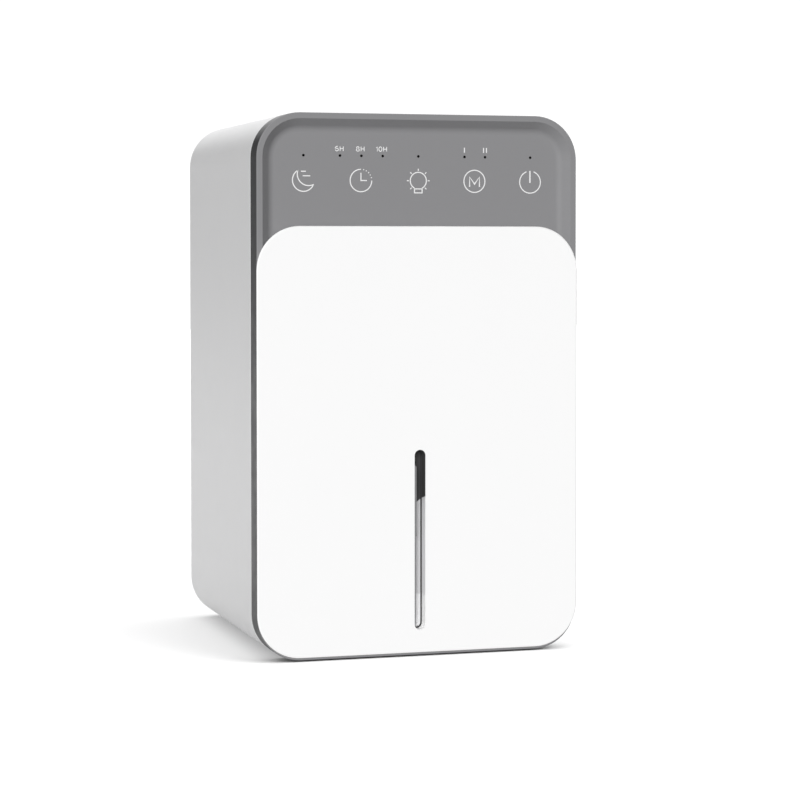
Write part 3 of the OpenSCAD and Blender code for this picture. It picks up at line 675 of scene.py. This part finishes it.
def blade_point(turn, out, along, side):
    """A point on a blade's front (side -1) or back (side 1), with out and along from 0 to 1."""
    bow = math.sin(math.pi * along)
    r = HUB_R - BLADE_ROOT + (BLADE_TIP_R - HUB_R + BLADE_ROOT) * out
    a = turn + BLADE_SWEEP * out ** 1.5 + BLADE_WIDTH * (along - 0.5) + BLADE_CAMBER * bow
    pitch = along + 0.06 * (1 - out) * math.sin(2 * math.pi * along)
    y = BLADE_FRONT_Y + BLADE_MARGIN + (BLADE_DEPTH - 2 * BLADE_MARGIN) * pitch
    # Half the thickness: thin at both edges, and less towards the tip
    half = 0.22 + 0.55 * bow ** 0.7 * (1.1 - 0.4 * out)
    return r * math.cos(a), y + side * half, STACK_Z + r * math.sin(a)


def fan_blade(bm, turn):
    """A twisted blade with a cambered section: two sheets of points, and a band round their border."""
    rows, columns = BLADE_ROWS, BLADE_COLUMNS
    front, back = [], []
    for i in range(rows):
        for j in range(columns):
            for sheet, side in ((front, -1), (back, 1)):
                point = blade_point(turn, i / (rows - 1), j / (columns - 1), side)
                sheet.append(bm.verts.new(point))
    for i in range(rows - 1):
        for j in range(columns - 1):
            k = i * columns + j
            for sheet in (front, back):
                bm.faces.new((sheet[k], sheet[k + 1], sheet[k + columns + 1], sheet[k + columns]))
    last = (rows - 1) * columns
    border = list(range(columns)) + [columns - 1 + columns * i for i in range(1, rows)]
    border += [last + j for j in range(columns - 2, -1, -1)] + [columns * i for i in range(rows - 2, 0, -1)]
    bridge(bm, [front[k] for k in border], [back[k] for k in border])


def make_impeller():
    """The fan's rotor: a cup-shaped hub with a rounded front, and the blades round it."""
    bm = bmesh.new()
    front, back = BLADE_FRONT_Y - 0.65, BLADE_FRONT_Y + BLADE_DEPTH + 1.15
    shaft_r, cup_r, edge = 1.5, 13.3, 0.3
    lathe(bm, [
        (shaft_r, front + edge), (3.4, front + edge), (3.8, front), (14.9, front), (16, front + 0.35),
        (HUB_R, front + 1.3), (HUB_R, back - edge), (HUB_R - edge, back), (cup_r + edge, back),
        (cup_r, back - edge), (cup_r, front + 2), (shaft_r, front + 2),
    ])
    for i in range(BLADES):
        fan_blade(bm, 2 * math.pi * i / BLADES)
    impeller = to_piece("fan_impeller", bm, "fan", MATERIALS["fan_black"])
    impeller.data.shade_smooth()
    impeller.data.set_sharp_from_angle(angle=math.radians(35))
    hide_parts("fan_rotor")


# ---- touch springs ----

# Between the recess floor and the control board, one behind each key
KEY_X = (-47.3, -23.4, 0.6, 24.4, 48.4)
KEY_Z = BASE_Z + 191.7
SPRING_Y = (-59.795, -56.245)
SPRING_R = 4.2
SPRING_WIRE_R = 0.28
SPRING_TURNS = 4


def coil(bm, x):
    """A coil spring that presses a touch contact against the recess floor."""
    steps, sides = 24 * SPRING_TURNS, 8
    low, high = SPRING_Y[0] + SPRING_WIRE_R, SPRING_Y[1] - SPRING_WIRE_R
    rings = []
    for i in range(steps + 1):
        a = 2 * math.pi * SPRING_TURNS * i / steps
        y = low + (high - low) * i / steps
        section = []
        for k in range(sides):
            b = 2 * math.pi * k / sides
            r = SPRING_R + SPRING_WIRE_R * math.cos(b)
            point = (x + r * math.cos(a), y + SPRING_WIRE_R * math.sin(b), KEY_Z + r * math.sin(a))
            section.append(bm.verts.new(point))
        rings.append(section)
    for a, b in zip(rings, rings[1:]):
        bridge(bm, a, b)
    bm.faces.new(rings[0])
    bm.faces.new(rings[-1][::-1])


def make_touch_coils():
    """One wound spring behind each key, as one piece."""
    bm = bmesh.new()
    for x in KEY_X:
        coil(bm, x)
    coils = to_piece("touch_coils", bm, "housing", MATERIALS["zinc_steel"])
    coils.data.shade_smooth()
    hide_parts("touch_springs")


# ---- level window ----

# The slot in the panel: its width, its height and the height of its middle, as in the CAD
WINDOW_W = 4.6
WINDOW_H = 73
WINDOW_Z = 47.3

# The ledge, a dark grey strip along the slot's left side only that stands in for the shade there: its ends,
# the height of the step where it widens, its widths below and above the step, how far its ends taper,
# and the depths of its front and back behind the panel's face
LEDGE_Z = (WINDOW_Z - 34.9, WINDOW_Z + 30.6)
LEDGE_STEP_Z = 48.75
LEDGE_W_LOW = 0.62
LEDGE_W_HIGH = 0.94
LEDGE_TAPER = 1
LEDGE_DEPTHS = (0.45, 0.85)


def slot_outline(width, height):
    """Points round an upright slot with round ends, about the window's middle."""
    count = 16
    r = width / 2
    reach = (height - width) / 2
    points = []
    for turn in (0, 1):
        for i in range(count + 1):
            a = math.pi * (turn + i / count)
            points.append((r * math.cos(a), WINDOW_Z + r * math.sin(a) + (reach if turn == 0 else -reach)))
    return points


def slot_ring(name, inset, front, back, slot):
    """A ring in the slot, narrower by the inset inside than outside, from one depth to another."""
    outer, inner = (WINDOW_W, WINDOW_H), (WINDOW_W - inset, WINDOW_H - inset)
    bm = bmesh.new()
    loops = [
        [bm.verts.new((x, y, z)) for x, z in slot_outline(*size)]
        for size, y in ((outer, front), (inner, front), (inner, back), (outer, back))
    ]
    for k in range(4):
        bridge(bm, loops[k], loops[(k + 1) % 4])
    return to_piece(name, bm, "tank", MATERIALS[slot])


def make_shade_ledge():
    """The narrow ledge along the slot's left side, a dark grey strip that stands in for the shade there:
    wider above its step, with tapered ends.
    """
    wall = -WINDOW_W / 2
    low, high = LEDGE_Z
    outline = [
        (wall, low), (wall + LEDGE_W_LOW, low + LEDGE_TAPER), (wall + LEDGE_W_LOW, LEDGE_STEP_Z),
        (wall + LEDGE_W_HIGH, LEDGE_STEP_Z), (wall + LEDGE_W_HIGH, high - LEDGE_TAPER), (wall, high),
    ]
    bm = bmesh.new()
    front, back = [
        [bm.verts.new((x, PANEL_Y + depth, z)) for x, z in outline] for depth in LEDGE_DEPTHS
    ]
    bm.faces.new(front)
    bm.faces.new(back[::-1])
    bridge(bm, front, back)
    to_piece("window_ledge", bm, "tank", MATERIALS["ledge_grey"])


def make_window():
    """A ledge just inside the slot that stands in for the shade along its left side, a liner on the slot's
    wall that carries the window's painted shade and reflection, and a seal round the pane.
    """
    make_shade_ledge()
    # The liner carries the window's painted dark reflection and shade onto the slot's wall
    slot_ring("window_liner", 0.16, PANEL_Y + 0.35, PANE_Y - 0.1, "window_liner")
    slot_ring("window_seal", 1.25, PANE_Y - 0.1, PANE_Y + 0.25, "foot_rubber")


# ---- studio ----

# Strength of the world as the camera sees it, and as it lights the scene
BACKDROP = 1.1
AMBIENT = 0.15


def make_camera():
    """The camera at the front left, a little above the middle of the object."""
    data = bpy.data.cameras.new("camera")
    data.sensor_width = 36
    data.lens = 107.54
    data.shift_y = -0.09135
    camera = bpy.data.objects.new("camera", data)
    camera.location = (-0.2830, -0.9865, 0.1637)
    camera.rotation_euler = (math.radians(88.2), math.radians(0.03), math.radians(-16.613))
    bpy.context.scene.collection.objects.link(camera)
    bpy.context.scene.camera = camera


def make_world():
    """White behind the object for the camera, and a dim even light for everything else."""
    world = bpy.data.worlds.new("studio")
    bpy.context.scene.world = world
    world.use_nodes = True
    tree = world.node_tree
    ambient = tree.nodes["Background"]
    ambient.inputs["Color"].default_value = (1, 1, 1, 1)
    ambient.inputs["Strength"].default_value = AMBIENT
    backdrop = tree.nodes.new("ShaderNodeBackground")
    backdrop.inputs["Color"].default_value = (1, 1, 1, 1)
    backdrop.inputs["Strength"].default_value = BACKDROP
    chosen = tree.nodes.new("ShaderNodeMixShader")
    path = tree.nodes.new("ShaderNodeLightPath")
    tree.links.new(path.outputs["Is Camera Ray"], chosen.inputs["Fac"])
    tree.links.new(ambient.outputs[0], chosen.inputs[1])
    tree.links.new(backdrop.outputs[0], chosen.inputs[2])
    tree.links.new(chosen.outputs[0], tree.nodes["World Output"].inputs["Surface"])


def make_floor():
    """A wide white floor that throws no shadow, so that the light from below reaches the object."""
    bm = bmesh.new()
    bmesh.ops.create_grid(bm, x_segments=8, y_segments=8, size=4)
    mesh = bpy.data.meshes.new("floor")
    bm.to_mesh(mesh)
    bm.free()
    floor = bpy.data.objects.new("floor", mesh)
    bpy.context.scene.collection.objects.link(floor)
    dress(floor, moulded_plastic("floor_white", (0.9, 0.9, 0.9), 0.9, specular=0, shade=0.002))
    floor.visible_diffuse = False
    floor.visible_shadow = False
    return floor


def soft_light(name, direction, angle, brightness, only=(), without=()):
    """An even light from one side. Brightness is what a white sheet that faces it would show."""
    data = bpy.data.lights.new(name, "SUN")
    data.angle = math.radians(angle)
    data.energy = brightness * math.pi
    light = bpy.data.objects.new(name, data)
    bpy.context.scene.collection.objects.link(light)
    light.location = Vector(direction).normalized() * 2
    light.rotation_euler = light.location.to_track_quat("Z", "Y").to_euler()
    linked = bpy.data.collections.new(f"{name}_linked")
    for obj in (*only, *without):
        linked.objects.link(obj)
    for obj, entry in zip((*only, *without), linked.collection_objects):
        entry.light_linking.link_state = "INCLUDE" if obj in only else "EXCLUDE"
    light.light_linking.receiver_collection = linked


def make_lights(floor):
    """Lights for the object alone, and two that light only the floor and give the soft shadow."""
    soft_light("key", (-0.43, -0.87, 0.3), 30, 0.99, without=[floor])
    soft_light("top", (0.32, 0.36, 0.87), 20, 0.98, without=[floor])
    soft_light("rear", (0.7, 0.7, 0.2), 30, 0.6, without=[floor])
    soft_light("bounce", (-0.2, -0.1, -0.97), 60, 0.28, without=[floor, nodes["front_bezel"]])
    soft_light("floor_dome", (0, 0, 1), 160, 1.17, only=[floor])
    soft_light("floor_front", (0.5, -0.6, 0.65), 40, 0.35, only=[floor])


make_camera()
make_world()
make_lights(make_floor())
dress_cad_nodes()
print_symbols()
print_labels()
make_window()
make_impeller()
make_touch_coils()

bpy.context.scene.view_settings.view_transform = "Standard"
